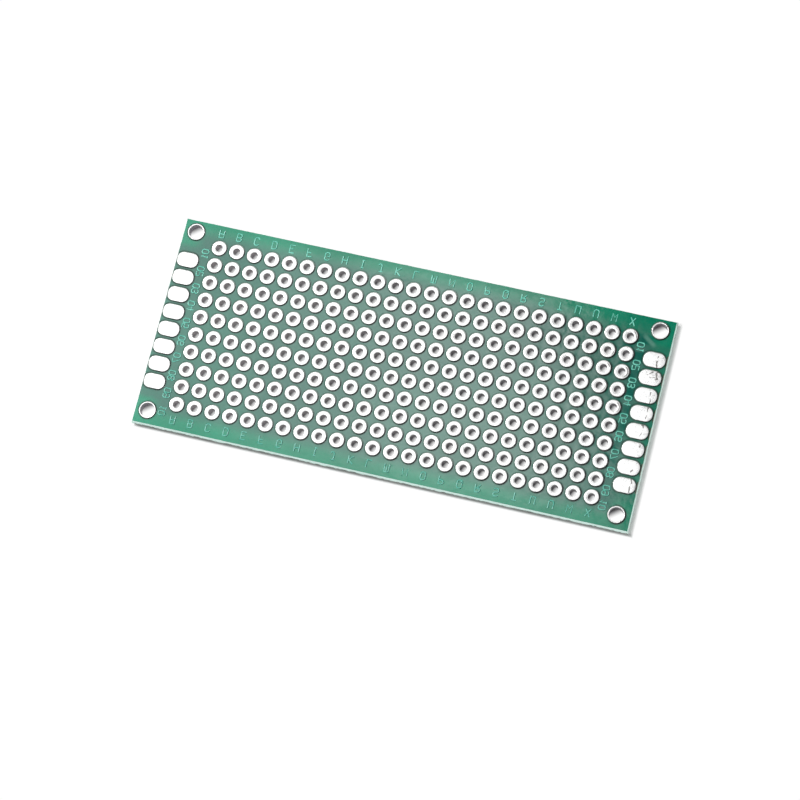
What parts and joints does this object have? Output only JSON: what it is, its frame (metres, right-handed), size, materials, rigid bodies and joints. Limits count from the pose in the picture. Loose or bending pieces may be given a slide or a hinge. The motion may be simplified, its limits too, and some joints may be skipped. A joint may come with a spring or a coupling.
{
  "type": "prototype board",
  "caption": "Double-sided perforated prototype board with a grid of plated component holes, oval edge pads at both ends and a screw hole in each corner.",
  "frame": {"origin": "centre of the board's outline, at the height of the lowest solder lands on its underside", "axes": "+X along the long side from column A to column X, +Y across the board from row 10 to row 01, +Z out of the upper face"},
  "size_m": [0.07, 0.03, 0.0016],
  "materials": {
    "glass_epoxy": "pale cream woven glass and epoxy, rough where it was snapped off",
    "solder_mask": "glossy green lacquer, a little see-through over the light green index marks",
    "tinned_copper": "bright, slightly uneven hot-dipped tin"
  },
  "bodies": {
    "root": {"edge_pad_left_bottom_02": "tinned_copper", "edge_pad_left_bottom_03": "tinned_copper", "edge_pad_left_bottom_04": "tinned_copper", "edge_pad_left_bottom_05": "tinned_copper", "edge_pad_left_bottom_06": "tinned_copper", "edge_pad_left_bottom_07": "tinned_copper", "edge_pad_left_bottom_08": "tinned_copper", "edge_pad_left_bottom_09": "tinned_copper", "edge_pad_left_top_02": "tinned_copper", "edge_pad_left_top_03": "tinned_copper", "edge_pad_left_top_04": "tinned_copper", "edge_pad_left_top_05": "tinned_copper", "edge_pad_left_top_06": "tinned_copper", "edge_pad_left_top_07": "tinned_copper", "edge_pad_left_top_08": "tinned_copper", "edge_pad_left_top_09": "tinned_copper", "edge_pad_right_bottom_02": "tinned_copper", "edge_pad_right_bottom_03": "tinned_copper", "edge_pad_right_bottom_04": "tinned_copper", "edge_pad_right_bottom_05": "tinned_copper", "edge_pad_right_bottom_06": "tinned_copper", "edge_pad_right_bottom_07": "tinned_copper", "edge_pad_right_bottom_08": "tinned_copper", "edge_pad_right_bottom_09": "tinned_copper", "edge_pad_right_top_02": "tinned_copper", "edge_pad_right_top_03": "tinned_copper", "edge_pad_right_top_04": "tinned_copper", "edge_pad_right_top_05": "tinned_copper", "edge_pad_right_top_06": "tinned_copper", "edge_pad_right_top_07": "tinned_copper", "edge_pad_right_top_08": "tinned_copper", "edge_pad_right_top_09": "tinned_copper", "hole_plating_row_01": "tinned_copper", "hole_plating_row_02": "tinned_copper", "hole_plating_row_03": "tinned_copper", "hole_plating_row_04": "tinned_copper", "hole_plating_row_05": "tinned_copper", "hole_plating_row_06": "tinned_copper", "hole_plating_row_07": "tinned_copper", "hole_plating_row_08": "tinned_copper", "hole_plating_row_09": "tinned_copper", "hole_plating_row_10": "tinned_copper", "laminate": "glass_epoxy", "screw_hole_plating_bottom_left": "tinned_copper", "screw_hole_plating_bottom_right": "tinned_copper", "screw_hole_plating_top_left": "tinned_copper", "screw_hole_plating_top_right": "tinned_copper", "solder_mask_bottom": "solder_mask", "solder_mask_top": "solder_mask"}
  },
  "joints": []
}
